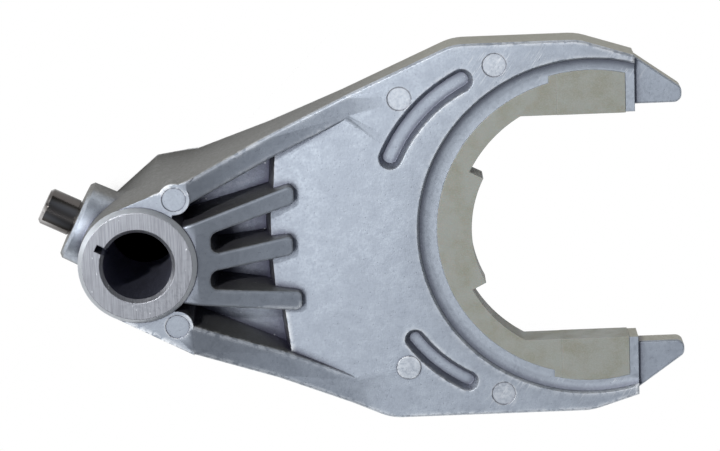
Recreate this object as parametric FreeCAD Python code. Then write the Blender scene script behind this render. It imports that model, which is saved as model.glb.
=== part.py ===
# Range fork of a transfer case: a die-cast aluminium fork that slides on a rail,
# with a pressed-in steel cam pin and a moulded nylon liner in its throat.
#
# Frame: the origin lies on the rail bore's axis at the mid-plane of the fork.
# +Z runs along the bore, out of the face with the key notch.
# +X runs from the bore towards the finger tips, +Y completes the frame.
# All sizes are millimetres and all angles are degrees.

import FreeCAD, Part
import math
import os

from FreeCAD import Placement, Rotation, Vector

# Rail bore and hub
bore_r = 9.525
bore_chamfer = 1.0
hub_half = 20.0
hub_r = 16.45
hub_face_r = 15.2
hub_rear_r = 13.75
hub_rear_face_r = 12.7
notch_width = 2.1
notch_reach = 3.0
notch_depth = 6.0

# Cam pin and its boss, both on one radius of the hub at the mid-plane
pin_angle = 152.8
pin_r = 5.25
pin_shank_r = 5.5
pin_tip = 29.5
pin_inner_end = 10.3
pin_chamfer = 0.8
pin_relief_r = 5.0
pin_relief_width = 0.6
boss_face = 20.0
boss_r = 11.5
boss_draft = 3.0
boss_flare = 3.0
boss_edge = 0.9

# Fork: where the throat lies from the bore, and the plate
fork_reach = 126.0
fork_offset = 2.2
plate_half = 5.5
fork_half_width = 53.6
plate_edge = 0.6
upper_corner_x = 89.0
lower_corner_x = 68.5
corner_round = 15.0
upper_finger_corner = -2.5
lower_finger_corner = -0.5
upper_finger_end = 48.6
lower_finger_end = 49.4
finger_end = 12.9

# Finger tips, measured from the throat axis
tip_reach = 26.0
tip_half = 2.9
tip_inner = 34.4
tip_outer = 48.0
tip_nose = 38.6
tip_round = 2.2
tip_bevel = 0.4

# Throat: the stepped land, the liner's seat and the tongue that the liner wraps
groove_r = 48.6
land_drop = 1.3
land_wall = 0.7
land_wall_drop = 0.9
land_ramp = 1.7
seat_r = 42.9
shoe_seat_r = 44.8
shoe_start = -10.9
stop_thickness = 2.6
stop_inner = 32.6
tongue_half = 2.0
liner_wall = 2.2

# Liner
liner_half = 4.25
throat_r = 37.5
saddle_r = 33.2
saddle_half_angle = 27.0
shoe_inner = 32.4
shoe_pad_back = 2.2
shoe_pad_raise = 0.2

# Pads beside the hub, with the round witness marks of the die's ejector pins
pad_half = 18.5
pad_r = 4.4
upper_pad = (10.9, 18.2)
lower_pad = (10.1, -18.1)
lower_pad_reach = 6.4
pad_overlap = 1.0
rear_pad_reach = 4.9
shoulder_height = 3.2
shoulder_round = 6.0
mark_r = 3.35
mark_depth = 0.2
plate_marks = ((-25.8, 47.4), (-52.3, 38.9), (-25.5, -47.5))
proud_mark = (-52.1, -38.7)
proud_mark_raise = 0.3

# Edge ribs along the two long sides
edge_rib_upper_width = 6.9
edge_rib_lower_width = 8.4
edge_rib_start = 14.4
edge_rib_knee = 38.0
edge_rib_end = 62.0
edge_rib_knee_half = 9.2
edge_rib_end_half = 5.1
edge_rib_round = 0.9

# Fan of three ribs on a collar beside the hub, listed from the lower rib to the upper one
collar_half = 18.2
collar_end = 16.4
rib_head_x = (44.7, 42.8, 43.6)
rib_head_half = 8.5
rib_root_x = 14.5
rib_root_y = (-9.7, -1.3, 8.4)
rib_head_y = (-15.1, 1.4, 16.0)
rib_root_width = 4.9
rib_head_width = 5.6
rib_head_round = 1.7
rib_top_round = 0.8
inner_pocket_start = (19.9, 20.4)
inner_pocket_round = 2.2

# Pockets between the ribs: where their end walls meet the plate's face, and the web behind them
pocket_end_line = (
    (41.4, -33.0), (39.9, -18.8), (37.4, -11.0), (36.8, 0.0), (36.9, 9.7), (38.2, 19.0), (39.0, 30.0),
)
pocket_end_draft = 10.0
web_front = -3.0
web_back = -6.0

# Curved blind slots in the plate: arc centre from the throat axis, radius and ends
slot_depth = 2.4
slot_wall_run = 1.4
upper_slot = {"centre": (-14.5, 3.4), "radius": 44.9, "half_width": 3.4, "start": 117.2, "end": 155.2}
lower_slot = {"centre": (-15.3, -5.9), "radius": 42.6, "half_width": 3.0, "start": 215.5, "end": 241.8}

# Worked-out values
throat = (fork_reach, fork_offset)
plate_top_y = fork_offset + fork_half_width
plate_bottom_y = fork_offset - fork_half_width
finger_x = fork_reach + finger_end
stop_x = finger_x - stop_thickness
land_half = plate_half - land_drop
through = 4.0 * hub_half
up = Vector(0, 0, 1)


def unit(angle):
    """Return the unit vector at an angle in the XY plane."""
    return Vector(math.cos(math.radians(angle)), math.sin(math.radians(angle)), 0)


def rounded_wire(corners):
    """Return a closed wire through (x, y, radius) corners, each one rounded by its radius."""
    points = [Vector(x, y, 0) for x, y, _ in corners]
    stretches = []
    for index, (x, y, radius) in enumerate(corners):
        here = points[index]
        back = (points[index - 1] - here).normalize()
        ahead = (points[(index + 1) % len(points)] - here).normalize()
        if radius <= 0:
            stretches.append((here, None, here))
            continue
        half = back.getAngle(ahead) / 2
        run = radius / math.tan(half)
        middle = here + (back + ahead).normalize() * (radius / math.sin(half) - radius)
        stretches.append((here + back * run, middle, here + ahead * run))
    edges = []
    for index, (start, middle, end) in enumerate(stretches):
        if middle is not None:
            edges.append(Part.Arc(start, middle, end).toShape())
        following = stretches[(index + 1) % len(stretches)][0]
        if (following - end).Length > 1e-6:
            edges.append(Part.LineSegment(end, following).toShape())
    return Part.Wire(edges)


def prism(wire, low, high):
    """Return the solid between two heights over a flat wire."""
    face = Part.Face(wire)
    face.translate(Vector(0, 0, low))
    return face.extrude(Vector(0, 0, high - low))


def disc(x, y, radius, low, high):
    """Return an upright cylinder between two heights."""
    return Part.makeCylinder(radius, high - low, Vector(x, y, low), up)


def block(x_low, x_high, y_low, y_high, low, high):
    """Return a box between two corners."""
    size = (x_high - x_low, y_high - y_low, high - low)
    return Part.makeBox(*size, Vector(x_low, y_low, low))


def turned(profile, axis_point, axis):
    """Return the solid that a closed profile sweeps in one turn about an axis."""
    return Part.Face(profile).revolve(axis_point, axis, 360)


def tangent_angle(x, y, radius, side):
    """Return the angle on a circle about the bore axis where a line from (x, y) touches it."""
    spread = math.degrees(math.acos(radius / math.hypot(x, y)))
    return math.degrees(math.atan2(y, x)) + side * spread


def flat_rims(solid):
    """Return the edges round the top and bottom of a prism."""
    return [edge for edge in solid.Edges if abs(edge.Vertexes[0].Z - edge.Vertexes[-1].Z) < 1e-6]


def plate():
    """Return the fork plate before its throat is cut, with bevelled rims."""
    start_x = max(x for x, _ in pocket_end_line)
    outline = rounded_wire([
        (start_x, edge_line_y(start_x, True), 0),
        (start_x, edge_line_y(start_x, False), 0),
        (lower_corner_x, plate_bottom_y, corner_round),
        (fork_reach + lower_finger_corner, plate_bottom_y, corner_round),
        (finger_x, fork_offset - lower_finger_end, 0),
        (finger_x, fork_offset + upper_finger_end, 0),
        (fork_reach + upper_finger_corner, plate_top_y, corner_round),
        (upper_corner_x, plate_top_y, corner_round),
    ])
    slab = prism(outline, -plate_half, plate_half)
    return slab.makeChamfer(plate_edge, flat_rims(slab))


def pocket_end_walls():
    """Return the root of the plate, whose drafted end walls close the pockets on both faces."""
    back_x = max(x for x, _ in pocket_end_line) + 2 * plate_edge
    walls = []
    for floor, face in ((web_front, plate_half), (web_back, -plate_half)):
        lean = abs(face - floor) * math.tan(math.radians(pocket_end_draft))
        sections = []
        for z, shift in ((floor, lean), (face, 0)):
            points = [Vector(x - shift, y, z) for x, y in pocket_end_line]
            points += [Vector(back_x, pocket_end_line[-1][1], z), Vector(back_x, pocket_end_line[0][1], z)]
            sections.append(Part.makePolygon(points + points[:1]))
        walls.append(Part.makeLoft(sections, True, True))
    return walls


def edge_line_y(x, upper):
    """Return Y on the upper or lower long side of the casting at a given X."""
    if upper:
        start_x, start_y = upper_pad[0] + pad_r / 2, upper_pad[1] + pad_r
        end_x, end_y = upper_corner_x, plate_top_y
    else:
        start_x, start_y = lower_pad[0], lower_pad[1] - lower_pad_reach
        end_x, end_y = lower_corner_x, plate_bottom_y
    return start_y + (end_y - start_y) * (x - start_x) / (end_x - start_x)


def finger_tips():
    """Return the two tapered tips beyond the fingers, thinner than the plate."""
    tips = []
    for side in (1, -1):
        outline = rounded_wire([
            (finger_x - stop_thickness, fork_offset + side * tip_inner, 0),
            (fork_reach + tip_reach, fork_offset + side * tip_inner, tip_round),
            (fork_reach + tip_reach, fork_offset + side * tip_nose, tip_round),
            (finger_x, fork_offset + side * tip_outer, 0),
            (finger_x - stop_thickness, fork_offset + side * tip_outer, 0),
        ])
        tip = prism(outline, -tip_half, tip_half)
        tips.append(tip.makeChamfer(tip_bevel, flat_rims(tip)))
    return tips


def land_recess():
    """Return the ring-shaped cut that steps the plate down to its land: a steep wall, then a ramp."""
    clear = plate_half + 1
    points = [
        (0, land_half),
        (groove_r - land_wall - land_ramp, land_half),
        (groove_r - land_wall, plate_half - land_wall_drop),
        (groove_r, plate_half),
        (groove_r, clear),
        (0, clear),
    ]
    outline = [Vector(x, 0, z) for x, z in points]
    recess = turned(Part.makePolygon(outline + outline[:1]), Vector(0, 0, 0), up)
    recess.translate(Vector(fork_reach, fork_offset, 0))
    return recess


def seat_zone(half):
    """Return the plan of the liner, throat and shoes, as a solid of a given half height."""
    wide = 2 * shoe_seat_r
    split_x = fork_reach + shoe_start
    round_part = disc(*throat, seat_r, -half, half)
    round_part = round_part.common(block(fork_reach - wide, split_x, -wide, wide, -half, half))
    shoe_part = disc(*throat, shoe_seat_r, -half, half)
    shoe_part = shoe_part.common(block(split_x, stop_x, -wide, wide, -half, half))
    return round_part.fuse(shoe_part).removeSplitter()


def throat_zone(radius, half_gap, half):
    """Return the open throat: a round end that runs out between two straight shoes."""
    round_part = disc(*throat, radius, -half, half)
    band = block(0, finger_x + tip_reach, fork_offset - half_gap, fork_offset + half_gap, -half, half)
    mouth = block(fork_reach, finger_x + tip_reach, fork_offset - half_gap, fork_offset + half_gap,
                  -half, half)
    return round_part.common(band).fuse(mouth).removeSplitter()


def throat_opening():
    """Return what is cut right through the plate, out to the gap between the end stops."""
    inner = throat_zone(throat_r + liner_wall, shoe_inner + liner_wall, through)
    inner = inner.common(block(0, stop_x, -through, through, -through, through))
    mouth = block(stop_x, finger_x + tip_reach, fork_offset - stop_inner, fork_offset + stop_inner,
                  -through, through)
    return inner.fuse(mouth)


def slot_pit(slot):
    """Return a curved pit with a flat floor and sloped walls, open through the plate's front face."""
    centre = Vector(fork_reach + slot["centre"][0], fork_offset + slot["centre"][1], 0)
    floor_half = slot["half_width"] - slot_wall_run
    mouth_half = slot["half_width"] + slot_wall_run
    low = plate_half - slot_depth
    high = plate_half + slot_depth
    outline = [
        Vector(slot["radius"] - mouth_half, 0, high),
        Vector(slot["radius"] - floor_half, 0, low),
        Vector(slot["radius"] + floor_half, 0, low),
        Vector(slot["radius"] + mouth_half, 0, high),
    ]
    face = Part.Face(Part.makePolygon(outline + outline[:1]))
    pit = face.revolve(Vector(0, 0, 0), up, slot["end"] - slot["start"])
    pit.Placement = Placement(centre, Rotation(up, slot["start"]))
    for angle in (slot["start"], slot["end"]):
        middle = centre + unit(angle) * slot["radius"] + Vector(0, 0, low)
        pit = pit.fuse(Part.makeCone(floor_half, mouth_half, high - low, middle, up))
    return pit


def hub():
    """Return the turned body of the hub, straight in front, tapered behind and bevelled at both faces."""
    shoulder = hub_r - hub_face_r
    rear_shoulder = hub_rear_r - hub_rear_face_r
    front = hub_half - shoulder
    rear = -hub_half + rear_shoulder
    outline = [
        Part.LineSegment(Vector(0, 0, -hub_half), Vector(hub_rear_face_r, 0, -hub_half)),
        Part.LineSegment(Vector(hub_rear_face_r, 0, -hub_half), Vector(hub_rear_r, 0, rear)),
        Part.LineSegment(Vector(hub_rear_r, 0, rear), Vector(hub_r, 0, 0)),
        Part.LineSegment(Vector(hub_r, 0, 0), Vector(hub_r, 0, front)),
        Part.LineSegment(Vector(hub_r, 0, front), Vector(hub_face_r, 0, hub_half)),
        Part.LineSegment(Vector(hub_face_r, 0, hub_half), Vector(0, 0, hub_half)),
        Part.LineSegment(Vector(0, 0, hub_half), Vector(0, 0, -hub_half)),
    ]
    return turned(Part.Wire([piece.toShape() for piece in outline]), Vector(0, 0, 0), up)


def pin_boss():
    """Return the round boss of the cam pin, flared where its sides run into the hub."""
    slope = math.tan(math.radians(boss_draft))
    side_r = boss_r + (boss_face - hub_r) * slope
    flare_x = side_r + boss_flare
    flare_z = math.sqrt((hub_r + boss_flare) ** 2 - flare_x ** 2)
    shrink = hub_r / (hub_r + boss_flare)
    touch = Vector(flare_x * shrink, 0, flare_z * shrink)
    aim = (Vector(side_r, 0, flare_z) + touch) * 0.5 - Vector(flare_x, 0, flare_z)
    flare_middle = Vector(flare_x, 0, flare_z) + aim.normalize() * boss_flare
    inner = bore_r + bore_chamfer
    outline = [
        Part.LineSegment(Vector(0, 0, boss_face), Vector(boss_r - boss_edge, 0, boss_face)),
        Part.LineSegment(Vector(boss_r - boss_edge, 0, boss_face), Vector(boss_r, 0, boss_face - boss_edge)),
        Part.LineSegment(Vector(boss_r, 0, boss_face - boss_edge), Vector(side_r, 0, flare_z)),
        Part.Arc(Vector(side_r, 0, flare_z), flare_middle, touch),
        Part.LineSegment(touch, Vector(0, 0, inner)),
        Part.LineSegment(Vector(0, 0, inner), Vector(0, 0, boss_face)),
    ]
    boss = turned(Part.Wire([piece.toShape() for piece in outline]), Vector(0, 0, 0), up)
    boss.Placement = Placement(Vector(0, 0, 0), Rotation(up, unit(pin_angle)))
    return boss


def radial_cylinder(radius, inner, outer):
    """Return a cylinder on the cam pin's axis between two distances from the bore axis."""
    direction = unit(pin_angle)
    return Part.makeCylinder(radius, outer - inner, direction * inner, direction)


def side_plan(radius):
    """Return the plan that runs from the hub's circle out past the two pads to the edge ribs."""
    upper = (edge_rib_start, edge_line_y(edge_rib_start, True))
    lower = (edge_rib_start, edge_line_y(edge_rib_start, False))
    first = unit(tangent_angle(*upper, radius, 1)) * radius
    last = unit(tangent_angle(*lower, radius, -1)) * radius
    corners = [
        (0, 0),
        (last.x, last.y),
        lower,
        (edge_rib_start, lower_pad[1]),
        lower_pad,
        (radius / 2, 0),
        upper_pad,
        (edge_rib_start, upper_pad[1]),
        upper,
        (first.x, first.y),
    ]
    return rounded_wire([(x, y, 0) for x, y in corners])


def pads():
    """Return the flat pads on both faces beside the hub, and the shoulder above them."""
    return [
        prism(side_plan(hub_r), 0, pad_half),
        prism(side_plan(hub_rear_r), -pad_half, 0),
        Part.makeCone(pad_r / 2, pad_r, 2 * pad_half, Vector(*upper_pad, -pad_half), up),
        disc(*lower_pad, pad_r, -pad_half, pad_half),
        rear_shoulder(),
    ]


def rear_shoulder():
    """Return the fuller shoulder above the hub, which slopes from the front pad's edge to the rear."""
    crest_x = upper_pad[0] + pad_r * 0.3
    end_x = edge_rib_start + 2 * pad_overlap
    corner = (rear_pad_reach, edge_line_y(rear_pad_reach, True) + shoulder_height)
    crest = (crest_x, edge_line_y(crest_x, True) + shoulder_height / 3)
    touch = unit(tangent_angle(*corner, hub_rear_r, 1)) * hub_rear_r
    front_x = edge_rib_start
    front_y = edge_line_y(front_x, True)
    rear = rounded_wire([
        (0, 0, 0),
        (*upper_pad, 0),
        (end_x, edge_line_y(end_x, True), 0),
        (*crest, shoulder_round),
        (*corner, shoulder_round / 4),
        (touch.x, touch.y, 0),
    ])
    start = unit(tangent_angle(front_x, front_y, hub_r, 1)) * hub_r
    slope = (front_y - start.y) / (front_x - start.x)
    points = []
    for vertex in rear.OrderedVertexes:
        limit = min(front_y + slope * (vertex.X - front_x), edge_line_y(vertex.X, True))
        points.append(Vector(vertex.X, min(vertex.Y, limit), 2 * pad_half))
    front = Part.makePolygon(points + points[:1])
    solid = Part.makeLoft([rear, front], True, True)
    solid.translate(Vector(0, 0, -pad_half))
    return solid.common(side_view(edge_stations(), 0, fork_half_width))


def edge_stations():
    """Return how the edge ribs fall: level with the pads, then steeply, then gently to the plate."""
    return (
        (-hub_r, pad_half),
        (edge_rib_start, pad_half),
        (edge_rib_knee, edge_rib_knee_half),
        (edge_rib_end, edge_rib_end_half),
    )


def side_view(stations, y_low, y_high):
    """Return a wedge across a width in Y, whose half height follows (x, half height) stations."""
    outline = [Vector(x, y_low, half) for x, half in stations]
    outline += [Vector(x, y_low, -half) for x, half in reversed(stations)]
    profile = Part.Face(Part.makePolygon(outline + outline[:1]))
    return profile.extrude(Vector(0, y_high - y_low, 0))


def ridge(plan, stations, top_round):
    """Return the solid over a plan whose half height follows (x, half height) stations."""
    bound = plan.BoundBox
    tallest = max(half for _, half in stations)
    margin = bound.YLength
    wedge = side_view(stations, bound.YMin - margin, bound.YMax + margin)
    solid = prism(plan, -tallest, tallest).common(wedge)
    rims = [edge for edge in solid.Edges if is_rim(solid, edge)]
    return solid.makeFillet(top_round, rims)


def is_rim(solid, edge):
    """Return whether an edge divides a face that looks up or down from a side wall."""
    facing = [abs(face.normalAt(0, 0).z) > 0.5 for face in solid.ancestorsOfType(edge, Part.Face)]
    return facing.count(True) == 1


def edge_ribs():
    """Return the two edge ribs along the long sides, which start inside the pads."""
    start_x = edge_rib_start - pad_overlap
    ribs = []
    for upper, inward in ((True, -edge_rib_upper_width), (False, edge_rib_lower_width)):
        outer = [Vector(x, edge_line_y(x, upper), 0) for x in (start_x, edge_rib_end)]
        points = outer + [point + Vector(0, inward, 0) for point in reversed(outer)]
        ribs.append(ridge(Part.makePolygon(points + points[:1]), edge_stations(), edge_rib_round))
    return ribs


def rib_side(number, side, x):
    """Return Y on the upper (1) or lower (-1) side of one rib of the fan at a given X."""
    share = (x - rib_root_x) / (rib_head_x[number] - rib_root_x)
    middle = rib_root_y[number] + share * (rib_head_y[number] - rib_root_y[number])
    width = rib_root_width + share * (rib_head_width - rib_root_width)
    return middle + side * width / 2


def fan():
    """Return the collar with its fan of ribs, cut as one comb and sloped towards the plate."""
    last = len(rib_head_x) - 1
    corners = [(0, rib_side(0, -1, 0), 0)]
    for number, head in enumerate(rib_head_x):
        corners.append((head, rib_side(number, -1, head), rib_head_round))
        corners.append((head, rib_side(number, 1, head), rib_head_round))
        if number < last:
            start = inner_pocket_start[number]
            corners.append((start, rib_side(number, 1, start), inner_pocket_round))
            corners.append((start, rib_side(number + 1, -1, start), inner_pocket_round))
    corners.append((0, rib_side(last, 1, 0), 0))
    stations = (
        (0, collar_half),
        (collar_end, collar_half),
        (max(rib_head_x), rib_head_half),
    )
    return ridge(rounded_wire(corners), stations, rib_top_round)


def web():
    """Return the thin web that closes the pockets between the ribs."""
    end_x = max(x for x, _ in pocket_end_line)
    outline = rounded_wire([
        (0, edge_line_y(upper_pad[0], True) - edge_rib_upper_width, 0),
        (0, edge_line_y(lower_pad[0], False) + edge_rib_lower_width, 0),
        (lower_pad[0], edge_line_y(lower_pad[0], False) + 1, 0),
        (end_x, edge_line_y(end_x, False) + 1, 0),
        (end_x, edge_line_y(end_x, True) - 1, 0),
        (upper_pad[0], edge_line_y(upper_pad[0], True) - 1, 0),
    ])
    return prism(outline, web_back, web_front)


def witness_mark(x, y, z):
    """Return the shallow disc that is sunk where an ejector pin marked a front face."""
    return disc(x, y, mark_r, z - mark_depth, z + mark_depth)


def key_notch():
    """Return the notch beside the bore, which points at the cam pin."""
    length = bore_r + notch_reach
    notch = block(0, length, -notch_width / 2, notch_width / 2, hub_half - notch_depth, hub_half + 1)
    notch.Placement = Placement(Vector(0, 0, 0), Rotation(up, pin_angle))
    return notch


def bore_cut():
    """Return the rail bore with a chamfer at each end."""
    wide = bore_r + bore_chamfer
    chamfer = bore_chamfer
    cut = disc(0, 0, bore_r, -hub_half - 1, hub_half + 1)
    cut = cut.fuse(Part.makeCone(bore_r, wide, chamfer, Vector(0, 0, hub_half - chamfer), up))
    return cut.fuse(Part.makeCone(wide, bore_r, chamfer, Vector(0, 0, -hub_half), up))


def fork_casting():
    """Return the cast fork: hub, pin boss, ribs, plate, fingers and tips as one solid."""
    flat = plate().fuse(finger_tips())
    recess = land_recess()
    flat = flat.cut(recess).cut(recess.mirror(Vector(0, 0, 0), up))
    seat = seat_zone(plate_half)
    seat_cut = seat.cut(seat_zone(tongue_half))
    flat = flat.cut(seat_cut).cut(throat_opening())
    body = hub().fuse(pads() + edge_ribs() + pocket_end_walls() + [fan(), web(), pin_boss(), flat])
    cuts = [bore_cut(), key_notch(), radial_cylinder(pin_shank_r, 0, boss_face + 1)]
    cuts += [slot_pit(upper_slot), slot_pit(lower_slot)]
    cuts += [witness_mark(x, y, pad_half) for x, y in (upper_pad, lower_pad)]
    cuts += [witness_mark(fork_reach + x, fork_offset + y, plate_half) for x, y in plate_marks]
    x, y = proud_mark
    raised = disc(fork_reach + x, fork_offset + y, mark_r, 0, plate_half + proud_mark_raise)
    return body.cut(cuts).fuse(raised).removeSplitter()


def cam_pin():
    """Return the hardened pin: a pressed-in shank, a grinding relief and a ground end with a chamfer."""
    direction = unit(pin_angle)
    ground_start = boss_face + pin_relief_width
    shank = radial_cylinder(pin_shank_r, pin_inner_end, boss_face)
    relief = radial_cylinder(pin_relief_r, boss_face, ground_start)
    ground = radial_cylinder(pin_r, ground_start, pin_tip - pin_chamfer)
    nose = Part.makeCone(pin_r, pin_r - pin_chamfer, pin_chamfer,
                         direction * (pin_tip - pin_chamfer), direction)
    return shank.fuse([relief, ground, nose]).removeSplitter()


def saddle():
    """Return the thick middle of the liner, which reaches further into the throat."""
    reach = 2 * throat_r
    wedge = rounded_wire([
        (0, 0, 0),
        (-reach, reach * math.tan(math.radians(saddle_half_angle)), 0),
        (-reach, -reach * math.tan(math.radians(saddle_half_angle)), 0),
    ])
    ring = disc(0, 0, throat_r + liner_wall / 2, -liner_half, liner_half)
    ring = ring.cut(disc(0, 0, saddle_r, -liner_half, liner_half))
    thick = ring.common(prism(wedge, -liner_half, liner_half))
    thick.translate(Vector(fork_reach, fork_offset, 0))
    return thick


def pad_liner():
    """Return the one-piece nylon liner, a C of U section that wraps the fork's tongue."""
    body = seat_zone(liner_half).cut(throat_zone(throat_r, shoe_inner, through)).fuse(saddle())
    tongue = seat_zone(tongue_half).cut(
        throat_zone(throat_r + liner_wall, shoe_inner + liner_wall, through))
    pad_x = fork_reach + shoe_start + shoe_pad_back
    half = liner_half + shoe_pad_raise
    faces = disc(*throat, shoe_seat_r, -half, half).cut(throat_zone(throat_r, shoe_inner, through))
    faces = faces.common(block(pad_x, stop_x, -through, through, -half, half))
    return body.fuse(faces).removeSplitter().cut(tongue)


def main():
    """Write one STEP file for each piece."""
    os.makedirs("parts", exist_ok=True)
    pieces = {
        "fork_casting": fork_casting(),
        "cam_pin": cam_pin(),
        "pad_liner": pad_liner(),
    }
    for name, shape in pieces.items():
        print(name, "valid", shape.isValid(), "solids", len(shape.Solids), "volume", round(shape.Volume))
        shape.exportStep(os.path.join("parts", name + ".step"))


main()
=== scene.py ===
"""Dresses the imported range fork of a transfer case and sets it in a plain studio.

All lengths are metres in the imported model's own frame: the origin on the rail bore's axis at the mid-plane
of the fork, +Z out of the front face, +X towards the finger tips.
"""

from __future__ import annotations

import logging
import math
from dataclasses import dataclass, field
from enum import Enum
from typing import Any, Mapping

import bmesh
import bpy
from mathutils import Matrix, Vector

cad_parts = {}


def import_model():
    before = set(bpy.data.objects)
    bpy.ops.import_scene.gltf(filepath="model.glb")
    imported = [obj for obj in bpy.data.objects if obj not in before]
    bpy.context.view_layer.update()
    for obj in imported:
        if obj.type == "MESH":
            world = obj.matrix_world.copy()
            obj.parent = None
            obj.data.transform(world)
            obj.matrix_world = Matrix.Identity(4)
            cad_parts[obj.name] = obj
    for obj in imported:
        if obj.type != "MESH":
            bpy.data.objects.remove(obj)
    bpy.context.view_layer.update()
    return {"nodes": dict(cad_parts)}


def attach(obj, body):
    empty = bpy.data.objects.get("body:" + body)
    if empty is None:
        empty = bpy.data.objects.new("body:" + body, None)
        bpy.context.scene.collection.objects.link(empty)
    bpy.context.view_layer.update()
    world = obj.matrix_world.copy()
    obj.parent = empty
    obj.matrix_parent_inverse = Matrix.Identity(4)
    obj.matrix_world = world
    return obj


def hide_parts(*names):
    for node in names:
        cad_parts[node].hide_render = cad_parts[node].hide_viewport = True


log = logging.getLogger("range_fork")

MM = 0.001
Colour = tuple[float, float, float]
Span = tuple[float, float]

WHITE: Colour = (1.0, 1.0, 1.0)
BLACK: Colour = (0.0, 0.0, 0.0)


class Slot(Enum):
    """The record's material slots."""

    ALUMINIUM = "cast_aluminium"
    STEEL = "pin_steel"
    NYLON = "liner_nylon"


class Node(Enum):
    """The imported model's nodes."""

    CASTING = "fork_casting"
    PIN = "cam_pin"
    LINER = "pad_liner"


class Graph:
    """Builds a node tree with one short call for each node."""

    def __init__(self, tree: bpy.types.NodeTree) -> None:
        """Take a node tree and empty it.

        Args:
            tree: The node tree to build in.
        """
        tree.nodes.clear()
        self.tree = tree

    def node(self, kind: str, inputs: Mapping[Any, Any] | None = None, **settings: Any) -> bpy.types.Node:
        """Add a node.

        Args:
            kind: The node's type, without its ShaderNode prefix.
            inputs: Values or sockets by the input's name or number.
            **settings: The node's own properties.

        Returns:
            The new node.
        """
        made = self.tree.nodes.new("ShaderNode" + kind)
        for name, value in settings.items():
            setattr(made, name, value)
        for key, value in (inputs or {}).items():
            self.feed(made.inputs[key], value)
        return made

    def feed(self, socket: bpy.types.NodeSocket, value: Any) -> None:
        """Link a socket to an input, or set a plain value on it.

        Args:
            socket: The input to fill.
            value: A socket, a number, a vector or a colour.
        """
        if isinstance(value, bpy.types.NodeSocket):
            self.tree.links.new(value, socket)
        elif socket.type == "RGBA" and len(value) == 3:
            socket.default_value = (*value, 1.0)
        else:
            socket.default_value = value

    def math(self, operation: str, *values: Any, clamp: bool = False) -> bpy.types.NodeSocket:
        """Return the result of a math node on numbers or sockets."""
        made = self.node("Math", dict(enumerate(values)), operation=operation, use_clamp=clamp)
        return made.outputs[0]

    def times(self, first: Any, *others: Any) -> Any:
        """Multiply numbers or sockets.

        Args:
            first: A number or socket.
            *others: The numbers or sockets to multiply it with.

        Returns:
            The product's socket.
        """
        for other in others:
            first = self.math("MULTIPLY", first, other)
        return first

    def largest(self, first: Any, *others: Any) -> Any:
        """Pick the largest of several numbers or sockets.

        Args:
            first: A number or socket.
            *others: The numbers or sockets to compare it with.

        Returns:
            The largest one's socket.
        """
        for other in others:
            first = self.math("MAXIMUM", first, other)
        return first

    def minus(self, first: Any, second: Any, clamp: bool = False) -> Any:
        """Return the first number or socket less the second."""
        return self.math("SUBTRACT", first, second, clamp=clamp)

    def off(self, value: Any, middle: float) -> Any:
        """Return how far a value lies from a middle, to either side."""
        return self.math("ABSOLUTE", self.minus(value, middle))

    def over(self, value: Any, limit: float) -> Any:
        """Return 1 where a value is over a limit."""
        return self.math("GREATER_THAN", value, limit)

    def under(self, value: Any, limit: float) -> Any:
        """Return 1 where a value is under a limit."""
        return self.math("LESS_THAN", value, limit)

    def ramp(self, value: Any, low: float, high: float, start: float = 0.0, end: float = 1.0) -> Any:
        """Map a value smoothly from one range to another.

        Args:
            value: The socket to map.
            low: The value that gives the start.
            high: The value that gives the end.
            start: The result at or below low.
            end: The result at or above high.

        Returns:
            The mapped socket.
        """
        inputs = {"Value": value, "From Min": low, "From Max": high, "To Min": start, "To Max": end}
        return self.node("MapRange", inputs, interpolation_type="SMOOTHSTEP").outputs["Result"]

    def fall(self, value: Any, low: float, high: float) -> Any:
        """Map a value smoothly from 1 at or below low to 0 at or above high."""
        return self.ramp(value, low, high, 1.0, 0.0)

    def mix(self, share: Any, first: Any, second: Any) -> bpy.types.NodeSocket:
        """Mix two colours.

        Args:
            share: How much of the second colour shows.
            first: A colour or socket.
            second: A colour or socket.

        Returns:
            The mixed colour's socket.
        """
        made = self.node("Mix", data_type="RGBA", blend_type="MIX")
        self.feed(made.inputs[0], share)
        self.feed(made.inputs[6], first)
        self.feed(made.inputs[7], second)
        return made.outputs[2]

    def noise(self, where: Any, size: float, detail: float = 2.0, stretch: Colour = WHITE) -> Any:
        """Return a noise pattern.

        Args:
            where: The coordinates' socket, in metres.
            size: The pattern's typical length, in metres.
            detail: The number of finer layers.
            stretch: How many times finer the pattern is along each axis.

        Returns:
            The pattern's socket, from 0 to 1.
        """
        place = self.node("Mapping", {"Vector": where, "Scale": stretch}).outputs["Vector"]
        inputs = {"Vector": place, "Scale": 1.0 / size, "Detail": detail, "Roughness": 0.55}
        return self.node("TexNoise", inputs).outputs["Fac"]

    def cells(self, where: Any, size: float) -> Any:
        """Return how far a point is from the middle of its cell in a pattern of cells."""
        return self.node("TexVoronoi", {"Vector": where, "Scale": 1.0 / size}).outputs["Distance"]

    def turned(self, where: Any, angle: float) -> Any:
        """Return coordinates turned about Z by an angle in degrees."""
        turn = (0.0, 0.0, math.radians(angle))
        return self.node("Mapping", {"Vector": where, "Rotation": turn}).outputs["Vector"]

    def flattened(self, place: bpy.types.Node) -> Any:
        """Return split coordinates without their height."""
        return self.node("CombineXYZ", {"X": place.outputs["X"], "Y": place.outputs["Y"]}).outputs[0]

    def length(self, where: Any) -> Any:
        """Return the distance of coordinates from the origin."""
        return self.node("VectorMath", {0: where}, operation="LENGTH").outputs["Value"]

    def distance(self, where: Any, point: Colour) -> Any:
        """Return the distance of coordinates from a point."""
        return self.node("VectorMath", {0: where, 1: point}, operation="DISTANCE").outputs["Value"]

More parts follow.
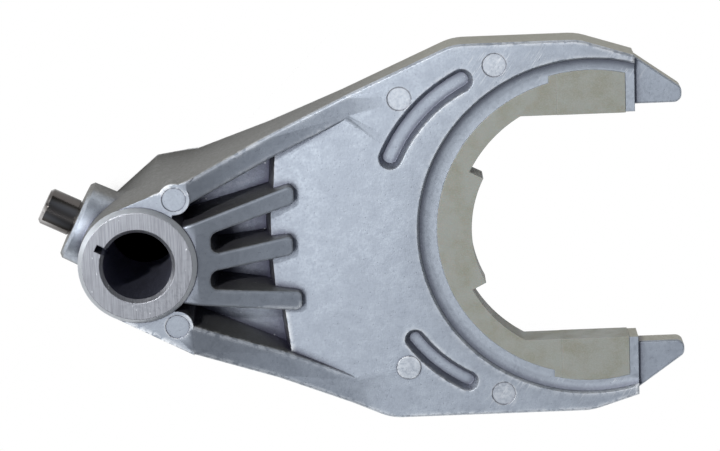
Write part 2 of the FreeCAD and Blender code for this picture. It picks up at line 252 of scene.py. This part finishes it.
    def openness(self, reach: float, samples: int, inside: bool = False) -> Any:
        """Return how open the piece is round a point, outside or inside its surface.

        Args:
            reach: The distance that is looked at.
            samples: The number of rays.
            inside: Whether to look into the solid, which finds its thin edges.

        Returns:
            The socket, from 0 for closed to 1 for open.
        """
        made = self.node("AmbientOcclusion", {"Distance": reach}, samples=samples, inside=inside,
                         only_local=True)
        return made.outputs["AO"]

    def rounded(self, radius: float, samples: int) -> Any:
        """Return normals that round the sharp edges by a radius."""
        return self.node("Bevel", {"Radius": radius}, samples=samples).outputs["Normal"]

    def surface(self, inputs: Mapping[str, Any], strength: float, depth: float, relief: Any,
                normal: Any) -> None:
        """Finish the tree with a shader and its relief.

        Args:
            inputs: The shader's inputs without its normal.
            strength: The relief's share.
            depth: The relief's depth for a height of 1.
            relief: The relief's height.
            normal: The normals that the relief starts from.
        """
        bump = self.node("Bump", {"Strength": strength, "Distance": depth, "Height": relief, "Normal": normal})
        shader = self.node("BsdfPrincipled", {**inputs, "Normal": bump.outputs["Normal"]})
        self.node("OutputMaterial", {"Surface": shader.outputs["BSDF"]})


def new_material(name: str) -> tuple[bpy.types.Material, Graph]:
    """Make a material.

    Args:
        name: The material's name.

    Returns:
        The new material and the builder of its node tree.
    """
    made = bpy.data.materials.new(name)
    made.use_nodes = True
    return made, Graph(made.node_tree)


@dataclass(frozen=True)
class Zones:
    """Sockets for where a point lies on the casting; those that are masks run from 0 to 1."""

    where: Any
    flat: Any
    x: Any
    z: Any
    height: Any
    from_throat: Any
    off_middle: Any
    bore: Any
    tooled: Any
    cast: Any
    upright: Any
    sheer: Any
    level: Any
    high: Any
    ring: Any
    near_hub: Any


@dataclass(frozen=True)
class Texture:
    """Sockets for the skin's patterns, from 0 to 1."""

    cloud: Any
    blotch: Any
    mottle: Any
    grain: Any
    pits: Any
    brushed: Any


@dataclass(frozen=True)
class CastSkin:
    """Die-cast aluminium: satin skin, edges worn bright with a painted highlight, painted shade in the pockets
    and machined bore faces.
    """

    name: str = "die_cast_aluminium"
    colour: Colour = (0.65, 0.71, 0.785)
    shade: Colour = (0.45, 0.495, 0.565)
    raised_shade_tone: Colour = (0.30, 0.325, 0.365)
    throat_shade_tone: Colour = (0.34, 0.365, 0.41)
    ring_tone: Colour = (0.62, 0.65, 0.69)
    deep: Colour = (0.075, 0.073, 0.115)
    shaded_wall: Colour = (0.185, 0.175, 0.150)
    pale_wall: Colour = (0.36, 0.345, 0.275)
    bore_reflection: Colour = (0.28, 0.29, 0.38)
    bright: Colour = (0.93, 0.95, 0.97)
    machined: Colour = (0.39, 0.40, 0.43)
    brush_dark: Colour = (0.275, 0.28, 0.305)
    pit: Colour = (0.16, 0.17, 0.20)
    roughness: float = 0.46
    metallic: float = 0.92
    edge_round: float = 0.28 * MM

    hub_half: float = 20.0 * MM
    hub_face_r: float = 15.2 * MM
    ring_depth: float = 1.38 * MM
    bore_r: float = 9.525 * MM
    bore_edge: float = 0.95 * MM
    high_heights: Span = (9.0 * MM, 18.0 * MM)
    pocket_end: float = 62.0 * MM
    web_front: float = -3.0 * MM
    fan_half: float = 17.0 * MM
    wall_change: Span = (45.0 * MM, 95.0 * MM)

    throat_middle: Colour = (126.0 * MM, 2.2 * MM, 0.0)
    throat_shade_radii: Span = (38.0 * MM, 56.0 * MM)
    finger_ends: Span = (136.0 * MM, 144.0 * MM)
    groove_r: float = 48.6 * MM
    land_heights: Span = (3.6 * MM, 4.75 * MM)
    crest_inset: Span = (3.9 * MM, 2.9 * MM)
    trough_inset: Span = (2.6 * MM, 0.9 * MM)
    bright_edge_heights: Span = (4.5 * MM, 4.9 * MM)
    seam_heights: Span = (0.05 * MM, 0.28 * MM)

    slots: tuple[tuple[float, float, float], ...] = ((111.5, 5.6, 44.9), (110.7, -3.7, 42.6))
    slot_end: float = 96.0 * MM
    slot_half: float = 4.9 * MM
    slot_middle: Span = (0.5 * MM, 1.8 * MM)
    slot_heights: Span = (4.9 * MM, 5.4 * MM)

    sanded_sides: Span = (40.0 * MM, 45.0 * MM)
    sanded_ends: Span = (86.0 * MM, 98.0 * MM)
    mark_r: float = 3.35 * MM
    mark_blur: float = 0.1 * MM
    mark_line: Span = (0.10 * MM, 0.32 * MM)
    marks: tuple[Span, ...] = (
        (10.9, 18.2), (10.1, -18.1), (100.2, 49.6), (73.7, 41.1), (73.9, -36.5), (100.5, -45.3),
    )

    def zones(self, graph: Graph) -> Zones:
        """Split the casting into its zones.

        Args:
            graph: The material's graph.

        Returns:
            The zones' sockets.
        """
        where = graph.node("TexCoord").outputs["Object"]
        place = graph.node("SeparateXYZ", {"Vector": where})
        normal = graph.node("SeparateXYZ", {"Vector": graph.node("NewGeometry").outputs["Normal"]})
        facing = graph.math("ABSOLUTE", normal.outputs["Z"])
        x, height = place.outputs["X"], graph.math("ABSOLUTE", place.outputs["Z"])
        flat = graph.flattened(place)
        radius = graph.length(flat)
        bore = graph.under(radius, self.bore_r + self.bore_edge)
        tooled = graph.largest(graph.over(height, self.hub_half - 0.04 * MM), bore)
        cast = graph.minus(1.0, tooled)
        return Zones(
            where=where,
            flat=flat,
            x=x,
            z=place.outputs["Z"],
            height=height,
            from_throat=graph.distance(flat, self.throat_middle),
            off_middle=graph.off(place.outputs["Y"], self.throat_middle[1]),
            bore=bore,
            tooled=tooled,
            cast=cast,
            upright=graph.times(graph.fall(facing, 0.25, 0.65), cast),
            sheer=graph.under(facing, 0.2),
            level=graph.ramp(facing, 0.985, 0.998),
            high=graph.times(graph.ramp(height, *self.high_heights), cast),
            ring=graph.times(graph.over(height, self.hub_half - self.ring_depth),
                             graph.over(radius, self.hub_face_r - 0.05 * MM)),
            near_hub=graph.under(x, self.pocket_end),
        )

    def texture(self, graph: Graph, where: Any) -> Texture:
        """Make the skin's patterns.

        Args:
            graph: The material's graph.
            where: The coordinates.

        Returns:
            The patterns' sockets.
        """
        return Texture(
            cloud=graph.noise(where, 9.0 * MM, 3.0),
            blotch=graph.noise(where, 2.8 * MM, 3.0),
            mottle=graph.noise(where, 0.9 * MM, 3.0),
            grain=graph.noise(where, 0.32 * MM),
            pits=graph.fall(graph.cells(where, 1.3 * MM), 0.05, 0.16),
            brushed=graph.noise(where, 0.22 * MM, 2.0, (1.0, 0.025, 0.025)),
        )

    def sanding(self, graph: Graph, zones: Zones) -> Any:
        """Mask the slanting scratches on the plate's outer corners.

        Args:
            graph: The material's graph.
            zones: The casting's zones.

        Returns:
            The mask's socket.
        """
        slanting = graph.turned(zones.where, 35.0)
        scratches = graph.ramp(graph.noise(slanting, 0.30 * MM, 1.0, (1.0, 0.04, 1.0)), 0.58, 0.72)
        corners = graph.times(graph.ramp(zones.off_middle, *self.sanded_sides),
                              graph.ramp(zones.x, *self.sanded_ends))
        patches = graph.ramp(graph.noise(zones.where, 12.0 * MM, 1.0), 0.40, 0.60)
        return graph.times(scratches, corners, patches, zones.level)

    def skin(self, graph: Graph, zones: Zones, texture: Texture) -> Any:
        """Colour the cast skin's mottling, pits and scratches, with painted shade on its raised parts, round
        the throat and on its upright walls.

        Args:
            graph: The material's graph.
            zones: The casting's zones.
            texture: The skin's patterns.

        Returns:
            The colour's socket.
        """
        colour = graph.mix(graph.ramp(texture.mottle, 0.28, 0.74), self.colour, self.shade)
        colour = graph.mix(graph.ramp(texture.cloud, 0.38, 0.66, 0.0, 0.6), colour, self.shade)
        colour = graph.mix(graph.ramp(texture.blotch, 0.40, 0.64, 0.0, 0.55), colour, self.shade)
        # painted shade: the raised ribs, pads and hub are darkened by their height
        colour = graph.mix(graph.times(zones.high, 0.62), colour, self.raised_shade_tone)
        # painted shade round the throat, fading out past the finger ends
        throat_shade = graph.times(graph.fall(zones.from_throat, *self.throat_shade_radii),
                             graph.ramp(zones.x, *self.finger_ends, 1.0, 0.2))
        colour = graph.mix(graph.times(throat_shade, 0.55), colour, self.throat_shade_tone)
        colour = graph.mix(graph.times(texture.pits, 0.5), colour, self.pit)
        colour = graph.mix(graph.times(self.sanding(graph, zones), 0.55), colour, self.bright)
        # painted shade on the upright walls: dark near the hub, paler towards the fingers
        shaded_wall = graph.mix(graph.ramp(zones.x, *self.wall_change), self.shaded_wall, self.pale_wall)
        return graph.mix(graph.times(zones.upright, 0.82), colour, shaded_wall)

    def marked(self, graph: Graph, zones: Zones, texture: Texture, colour: Any) -> Any:
        """Tone the ejector pins' discs and draw the thin lines round them.

        Args:
            graph: The material's graph.
            zones: The casting's zones.
            texture: The skin's patterns.
            colour: The colour so far.

        Returns:
            The colour's socket.
        """
        nearest = None
        for x, y in self.marks:
            away = graph.distance(zones.flat, (x * MM, y * MM, 0.0))
            nearest = away if nearest is None else graph.math("MINIMUM", nearest, away)
        nearest = graph.math("ADD", nearest, graph.under(zones.z, 0.0))
        disc = graph.fall(nearest, self.mark_r - self.mark_blur, self.mark_r + self.mark_blur)
        disc = graph.times(disc, graph.minus(zones.level, zones.high, clamp=True))
        line = graph.fall(graph.off(nearest, self.mark_r), *self.mark_line)
        tone = graph.ramp(texture.mottle, 0.3, 0.7, 0.15, 0.45)
        colour = graph.mix(graph.times(disc, tone), colour, self.bright)
        return graph.mix(graph.times(line, zones.level, 0.45), colour, self.pit)

    def machined_faces(self, graph: Graph, zones: Zones, texture: Texture, colour: Any) -> Any:
        """Colour the hub's faces and the rings round them, and paint a bluish-dark reflection on the bore's
        wall.

        Args:
            graph: The material's graph.
            zones: The casting's zones.
            texture: The skin's patterns.
            colour: The colour so far.

        Returns:
            The colour's socket.
        """
        colour = graph.mix(zones.ring, colour, self.ring_tone)
        nicks = graph.ramp(graph.noise(zones.where, 0.7 * MM, 1.0, (1.0, 0.3, 1.0)), 0.72, 0.80)
        brush = graph.mix(graph.ramp(texture.brushed, 0.32, 0.68), self.machined, self.brush_dark)
        brush = graph.mix(nicks, brush, self.bright)
        colour = graph.mix(zones.tooled, colour, brush)
        # painted reflection: the bore's wall is tinted bluish-dark
        return graph.mix(graph.times(zones.bore, zones.sheer), colour, self.bore_reflection)

    def slot_sides(self, graph: Graph, zones: Zones) -> Any:
        """Mask the two slots for painted shade, except for the middle of their floors.

        Args:
            graph: The material's graph.
            zones: The casting's zones.

        Returns:
            The mask's socket.
        """
        nearest = None
        for x, y, radius in self.slots:
            off = graph.off(graph.distance(zones.flat, (x * MM, y * MM, 0.0)), radius * MM)
            nearest = off if nearest is None else graph.math("MINIMUM", nearest, off)
        sunk = graph.times(graph.fall(zones.height, *self.slot_heights), graph.under(nearest, self.slot_half))
        # these sides take painted shade; the floor's middle stays light
        sides = graph.times(graph.ramp(nearest, *self.slot_middle), sunk)
        return graph.times(sides, graph.over(zones.from_throat, self.groove_r),
                           graph.under(zones.x, self.slot_end), graph.minus(1.0, zones.sheer))

    def land(self, graph: Graph, zones: Zones) -> tuple[Any, Any]:
        """Mask the land round the throat, for a painted highlight on its crest and painted shade in its
        trough.

        Args:
            graph: The material's graph.
            zones: The casting's zones.

        Returns:
            The mask of its crest beside the liner, and that of its trough beside the plate.
        """
        lowest, highest = self.land_heights
        inside = graph.times(graph.under(zones.height, highest), graph.under(zones.from_throat, self.groove_r))
        inside = graph.times(inside, graph.over(zones.height, lowest), graph.minus(1.0, zones.upright))
        crest = [self.groove_r - inset for inset in self.crest_inset]
        trough = [self.groove_r - inset for inset in self.trough_inset]
        return (graph.times(inside, graph.fall(zones.from_throat, *crest)),
                graph.times(inside, graph.ramp(zones.from_throat, *trough)))

    def shaded_hollows(self, graph: Graph, zones: Zones, texture: Texture, colour: Any) -> Any:
        """Paint shade into the corners, pockets, slots and the trough, and a highlight on the land's crest,
        with bright specks in the shade.

        Args:
            graph: The material's graph.
            zones: The casting's zones.
            texture: The skin's patterns.
            colour: The colour so far.

        Returns:
            The colour's socket.
        """
        around = graph.openness(9.0 * MM, 4)
        nook = graph.fall(graph.openness(2.2 * MM, 4), 0.60, 0.90)
        # painted shade in the corners and creases, from how closed they are
        colour = graph.mix(graph.times(nook, zones.cast, 0.78), colour, self.deep)
        hidden = graph.fall(around, 0.25, 0.85)
        web = graph.times(graph.under(zones.z, self.web_front + 0.1 * MM), zones.near_hub, zones.level)
        crest, trough = self.land(graph, zones)
        # painted shade in the deep hollows and on the pocket floors, less of it in the bore
        shade_share = graph.times(hidden, graph.ramp(texture.mottle, 0.25, 0.75, 1.0, 0.75),
                            graph.minus(1.0, graph.times(zones.bore, 0.7)))
        # painted shade also on the slots' sides and the land's trough
        shade_share = graph.largest(shade_share, graph.times(graph.fall(around, 0.46, 0.74), web),
                              graph.times(graph.largest(self.slot_sides(graph, zones), trough), 0.66))
        colour = graph.mix(graph.times(shade_share, 0.80), colour, self.deep)
        # painted highlight on the land's crest beside the liner
        colour = graph.mix(graph.times(crest, 0.45), colour, self.colour)
        flecks = graph.times(graph.fall(graph.cells(zones.where, 2.6 * MM), 0.04, 0.11), hidden)
        return graph.mix(graph.times(flecks, 0.8), colour, self.bright)

    def bright_edges(self, graph: Graph, zones: Zones) -> Any:
        """Mask the ragged bright edges, partly real wear and partly a painted highlight, which are rarer on
        the fan of ribs.

        Args:
            graph: The material's graph.
            zones: The casting's zones.

        Returns:
            The mask's socket.
        """
        convex = graph.fall(graph.openness(1.6 * MM, 4, inside=True), 0.58, 0.90)
        ragged = graph.ramp(graph.noise(zones.where, 1.5 * MM, 4.0), 0.38, 0.52)
        patchy = graph.ramp(graph.noise(zones.where, 14.0 * MM), 0.36, 0.58, 0.40, 1.0)
        fan = graph.times(graph.under(zones.off_middle, self.fan_half), zones.near_hub)
        share = graph.minus(patchy, graph.times(fan, 0.8), clamp=True)
        return graph.times(convex, ragged, zones.cast, share, graph.ramp(zones.height, *self.bright_edge_heights))

    def relief(self, graph: Graph, zones: Zones, texture: Texture, wear_and_glint: Any) -> Any:
        """Return the height of the grain, pits, brushing, parting seam and bright edges.

        Args:
            graph: The material's graph.
            zones: The casting's zones.
            texture: The skin's patterns.
            wear_and_glint: The mask of the edges' wear and painted highlight.

        Returns:
            The height's socket.
        """
        seam = graph.times(graph.fall(zones.height, *self.seam_heights), zones.upright)
        height = graph.math("ADD", graph.times(texture.grain, 0.35), graph.times(texture.mottle, 0.65))
        height = graph.times(graph.minus(height, graph.times(texture.pits, 0.5)), zones.cast)
        height = graph.math("ADD", height, graph.times(texture.brushed, zones.tooled, 0.5))
        height = graph.math("ADD", height, graph.times(seam, 2.5))
        return graph.math("ADD", height, graph.times(wear_and_glint, 1.2))

    def material(self) -> bpy.types.Material:
        """Make the material with its whole node tree.

        Returns:
            The new material.
        """
        made, graph = new_material(self.name)
        zones = self.zones(graph)
        texture = self.texture(graph, zones.where)
        wear_and_glint = self.bright_edges(graph, zones)
        colour = self.skin(graph, zones, texture)
        colour = self.marked(graph, zones, texture, colour)
        colour = self.machined_faces(graph, zones, texture, colour)
        colour = self.shaded_hollows(graph, zones, texture, colour)
        # the convex edges are painted near-white: partly real wear, partly a painted highlight
        colour = graph.mix(graph.times(wear_and_glint, 0.95), colour, self.bright)
        rough = graph.ramp(texture.mottle, 0.3, 0.7, self.roughness - 0.04, self.roughness + 0.08)
        rough = graph.minus(rough, graph.times(zones.tooled, 0.06))
        rough = graph.math("ADD", rough, graph.times(zones.upright, 0.12), clamp=True)
        metal = graph.minus(self.metallic, graph.times(wear_and_glint, 0.80))
        inputs = {"Base Color": colour, "Roughness": rough, "Metallic": metal}
        relief = self.relief(graph, zones, texture, wear_and_glint)
        graph.surface(inputs, 0.55, 0.05 * MM, relief, graph.rounded(self.edge_round, 4))
        return made


@dataclass(frozen=True)
class GroundSteel:
    """Hardened steel, ground round the pin's axis, with painted dark reflection stripes along it."""

    name: str = "ground_pin_steel"
    colour: Colour = (0.52, 0.51, 0.51)
    dark: Colour = (0.045, 0.036, 0.030)
    roughness: float = 0.14
    pin_angle: float = 152.8
    edge_round: float = 0.2 * MM

    def material(self) -> bpy.types.Material:
        """Make the material with its whole node tree.

        Returns:
            The new material.
        """
        made, graph = new_material(self.name)
        along = graph.turned(graph.node("TexCoord").outputs["Object"], -self.pin_angle)
        rings = graph.noise(along, 0.09 * MM, 2.0, (1.0, 0.02, 0.02))
        reflection_stripes = graph.noise(along, 5.0 * MM, 1.0, (0.12, 1.0, 1.0))
        # painted reflection: dark brownish stripes along the pin's axis
        colour = graph.mix(graph.ramp(reflection_stripes, 0.38, 0.58, 0.0, 0.85), self.colour, self.dark)
        rough = graph.ramp(reflection_stripes, 0.3, 0.7, self.roughness - 0.03, self.roughness + 0.08)
        inputs = {"Base Color": colour, "Roughness": rough, "Metallic": 1.0}
        graph.surface(inputs, 0.25, 0.01 * MM, rings, graph.rounded(self.edge_round, 6))
        return made


@dataclass(frozen=True)
class LinerNylon:
    """Moulded nylon, faintly mottled, rubbed pale along its edges, with painted shade in its hollows."""

    name: str = "moulded_liner_nylon"
    colour: Colour = (0.285, 0.293, 0.262)
    stained: Colour = (0.225, 0.222, 0.168)
    pale: Colour = (0.38, 0.39, 0.37)
    hollow_shade_tone: Colour = (0.10, 0.10, 0.09)
    roughness: float = 0.44
    edge_round: float = 0.3 * MM

    def material(self) -> bpy.types.Material:
        """Make the material with its whole node tree.

        Returns:
            The new material.
        """
        made, graph = new_material(self.name)
        where = graph.node("TexCoord").outputs["Object"]
        convex = graph.fall(graph.openness(0.6 * MM, 6, inside=True), 0.35, 0.85)
        hidden = graph.fall(graph.openness(3.0 * MM, 6), 0.35, 0.90)
        cloud = graph.noise(where, 6.0 * MM, 4.0)
        grain = graph.noise(where, 0.35 * MM, 3.0)
        colour = graph.mix(graph.ramp(cloud, 0.35, 0.70, 0.0, 0.8), self.colour, self.stained)
        colour = graph.mix(graph.ramp(grain, 0.35, 0.75, 0.0, 0.35), colour, self.pale)
        # painted shade in the liner's hollows
        colour = graph.mix(graph.times(hidden, 0.7), colour, self.hollow_shade_tone)
        colour = graph.mix(graph.times(convex, 0.4), colour, self.pale)
        rough = graph.ramp(cloud, 0.3, 0.7, self.roughness - 0.05, self.roughness + 0.08)
        inputs = {"Base Color": colour, "Roughness": rough, "IOR": 1.53,
                  "Subsurface Weight": 0.08, "Subsurface Scale": 1.0 * MM}
        graph.surface(inputs, 0.35, 0.02 * MM, grain, graph.rounded(self.edge_round, 6))
        return made


def link(data: bpy.types.ID, name: str) -> bpy.types.Object:
    """Add an object to the scene, at the origin.

    Args:
        data: The mesh, lamp or camera that it shows.
        name: The object's name.

    Returns:
        The new object.
    """
    made = bpy.data.objects.new(name, data)
    bpy.context.scene.collection.objects.link(made)
    return made


@dataclass
class DressedNode:
    """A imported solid, shown by a merged and smoothly shaded copy."""

    node: Node
    slot: Slot
    finish: CastSkin | GroundSteel | LinerNylon
    name: str
    crease: float = 32.0
    merge_gap: float = 0.0005 * MM

    def mesh(self, source: bpy.types.Object) -> bpy.types.Mesh:
        """Merge the node's loose triangles and mark its creases.

        Args:
            source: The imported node's object.

        Returns:
            The merged mesh.
        """
        work = bmesh.new()
        work.from_mesh(source.data)
        bmesh.ops.remove_doubles(work, verts=work.verts, dist=self.merge_gap)
        bmesh.ops.dissolve_degenerate(work, dist=self.merge_gap, edges=work.edges)
        for face in work.faces:
            face.smooth = True
        for edge in work.edges:
            edge.smooth = edge.is_manifold and edge.calc_face_angle() < math.radians(self.crease)
        made = bpy.data.meshes.new(self.name)
        work.to_mesh(made)
        work.free()
        if "custom_normal" in made.attributes:
            made.attributes.remove(made.attributes["custom_normal"])
        return made

    def build(self, nodes: Mapping[str, bpy.types.Object]) -> bpy.types.Object:
        """Make the copy, give it its finish and let it stand for the node.

        Args:
            nodes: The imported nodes' objects by name.

        Returns:
            The dressed object.
        """
        mesh = self.mesh(nodes[self.node.value])
        mesh.materials.clear()
        mesh.materials.append(self.finish.material())
        made = link(mesh, self.name)
        even = made.modifiers.new("even_normals", "WEIGHTED_NORMAL")
        even.keep_sharp = True
        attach(made, "root")
        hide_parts(self.node.value)
        log.info("%s: %d faces", self.name, len(mesh.polygons))
        return made


@dataclass(frozen=True)
class Lamp:
    """An area lamp that faces the object."""

    name: str
    towards: Colour
    reach: float
    width: float
    length: float
    power: float
    colour: Colour = WHITE

    def hang(self, target: Vector) -> None:
        """Hang the lamp on its side of a target.

        Args:
            target: The point that it faces.
        """
        data = bpy.data.lights.new(self.name, "AREA")
        data.shape = "RECTANGLE"
        data.size, data.size_y = self.width, self.length
        data.energy = self.power
        data.color = self.colour
        made = link(data, self.name)
        direction = Vector(self.towards).normalized()
        made.location = target + direction * self.reach
        made.rotation_mode = "QUATERNION"
        made.rotation_quaternion = direction.to_track_quat("Z", "Y")
        made.visible_camera = False


@dataclass
class Studio:
    """The plain floor, the soft lights, the surroundings and the camera."""

    floor_level: float = -20.2 * MM
    floor_size: float = 8.0
    shadow_reach: float = 26.0 * MM
    under_hub: Span = (12.4 * MM, 13.6 * MM)
    floor_colour: Colour = (0.8, 0.8, 0.8)
    horizon: Colour = (0.090, 0.084, 0.074)
    zenith: Colour = (0.17, 0.185, 0.215)
    lamps: tuple[Lamp, ...] = (
        Lamp("main_panel", (-0.38, 0.0, 0.92), 1.0, 0.24, 0.24, 3.5, (0.97, 0.985, 1.0)),
        Lamp("high_light", (-0.40, 0.40, 0.86), 1.1, 0.05, 0.05, 8.5),
        Lamp("left_light", (-0.98, 0.25, 0.20), 0.9, 0.35, 0.5, 1.2, (0.97, 0.985, 1.0)),
    )
    target: Vector = field(default_factory=lambda: Vector((61.641, 3.976, 0.0)) * MM)
    distance: float = 0.9
    tilt: float = 15.0
    roll: float = 2.2
    lens: float = 160.44
    sensor: float = 36.0

    def floor_material(self) -> bpy.types.Material:
        """Make a white floor with a painted shadow close to the object and black under the bore, which is
        unseen from below.

        Returns:
            The new material.
        """
        made, graph = new_material("white_floor")
        ray = graph.node("LightPath").outputs
        shown = graph.largest(ray["Is Camera Ray"], ray["Is Glossy Ray"], ray["Is Transmission Ray"])
        near = graph.node("AmbientOcclusion", {"Distance": self.shadow_reach}, samples=8).outputs["AO"]
        ground = graph.node("SeparateXYZ", {"Vector": graph.node("TexCoord").outputs["Object"]})
        from_bore = graph.length(graph.flattened(ground))
        # painted shadow: the floor's glow is darkened by how closed it is, and blacked out under the hub
        faint = graph.times(graph.ramp(near, 0.05, 0.38), graph.ramp(from_bore, *self.under_hub))
        strong = graph.ramp(near, 0.35, 1.05)
        open_share = graph.mix(ray["Is Camera Ray"], strong, faint)
        glow = graph.node("Emission", {"Color": graph.mix(open_share, BLACK, WHITE)})
        plain = graph.node("BsdfDiffuse", {"Color": self.floor_colour})
        lit = graph.node("MixShader", {0: shown, 1: plain.outputs[0], 2: glow.outputs[0]})
        below = graph.node("NewGeometry").outputs["Backfacing"]
        clear = graph.node("BsdfTransparent")
        whole = graph.node("MixShader", {0: below, 1: lit.outputs[0], 2: clear.outputs[0]})
        graph.node("OutputMaterial", {"Surface": whole.outputs[0]})
        return made

    def floor(self) -> None:
        """Lay the floor under the hub."""
        work = bmesh.new()
        bmesh.ops.create_grid(work, x_segments=1, y_segments=1, size=self.floor_size / 2)
        bmesh.ops.translate(work, verts=work.verts, vec=Vector((0, 0, self.floor_level)))
        mesh = bpy.data.meshes.new("floor")
        work.to_mesh(mesh)
        work.free()
        mesh.materials.append(self.floor_material())
        link(mesh, "floor")

    def world(self) -> None:
        """Surround the object with a soft grey that is brighter above and white to the camera."""
        world = bpy.data.worlds.new("studio")
        bpy.context.scene.world = world
        world.use_nodes = True
        graph = Graph(world.node_tree)
        where = graph.node("TexCoord").outputs["Generated"]
        up = graph.node("SeparateXYZ", {"Vector": where}).outputs["Z"]
        sky = graph.mix(graph.ramp(up, 0.0, 0.9), self.horizon, self.zenith)
        soft = graph.node("Background", {"Color": sky, "Strength": 1.0})
        white = graph.node("Background", {"Color": WHITE, "Strength": 1.0})
        seen = graph.node("LightPath").outputs["Is Camera Ray"]
        both = graph.node("MixShader", {0: seen, 1: soft.outputs[0], 2: white.outputs[0]})
        graph.node("OutputWorld", {"Surface": both.outputs[0]})

    def camera(self) -> None:
        """Stand the camera where the photograph was taken from."""
        tilt = math.radians(self.tilt)
        roll = math.radians(self.roll)
        back = Vector((0, math.sin(tilt), math.cos(tilt)))
        level_up = Vector((0, math.cos(tilt), -math.sin(tilt)))
        level_right = Vector((1, 0, 0))
        up = level_up * math.cos(roll) + level_right * math.sin(roll)
        right = level_right * math.cos(roll) - level_up * math.sin(roll)
        data = bpy.data.cameras.new("camera")
        data.sensor_width = self.sensor
        data.lens = self.lens
        data.clip_start, data.clip_end = 0.01, 20.0
        made = link(data, "camera")
        made.rotation_mode = "QUATERNION"
        made.rotation_quaternion = Matrix((right, up, back)).transposed().to_quaternion()
        made.location = self.target + back * self.distance
        bpy.context.scene.camera = made

    def build(self) -> None:
        """Set up the whole studio."""
        self.floor()
        self.world()
        for lamp in self.lamps:
            lamp.hang(self.target)
        self.camera()
        bpy.context.scene.view_settings.view_transform = "Standard"
        log.info("studio is set")


def main() -> None:
    """Load the frame, dress its pieces and set up the studio."""
    logging.basicConfig(level=logging.INFO, format="%(name)s %(message)s")
    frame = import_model()
    pieces = [
        DressedNode(Node.CASTING, Slot.ALUMINIUM, CastSkin(), "dressed_casting"),
        DressedNode(Node.PIN, Slot.STEEL, GroundSteel(), "dressed_pin"),
        DressedNode(Node.LINER, Slot.NYLON, LinerNylon(), "dressed_liner"),
    ]
    for piece in pieces:
        piece.build(frame["nodes"])
    Studio().build()


if __name__ == "__main__":
    main()
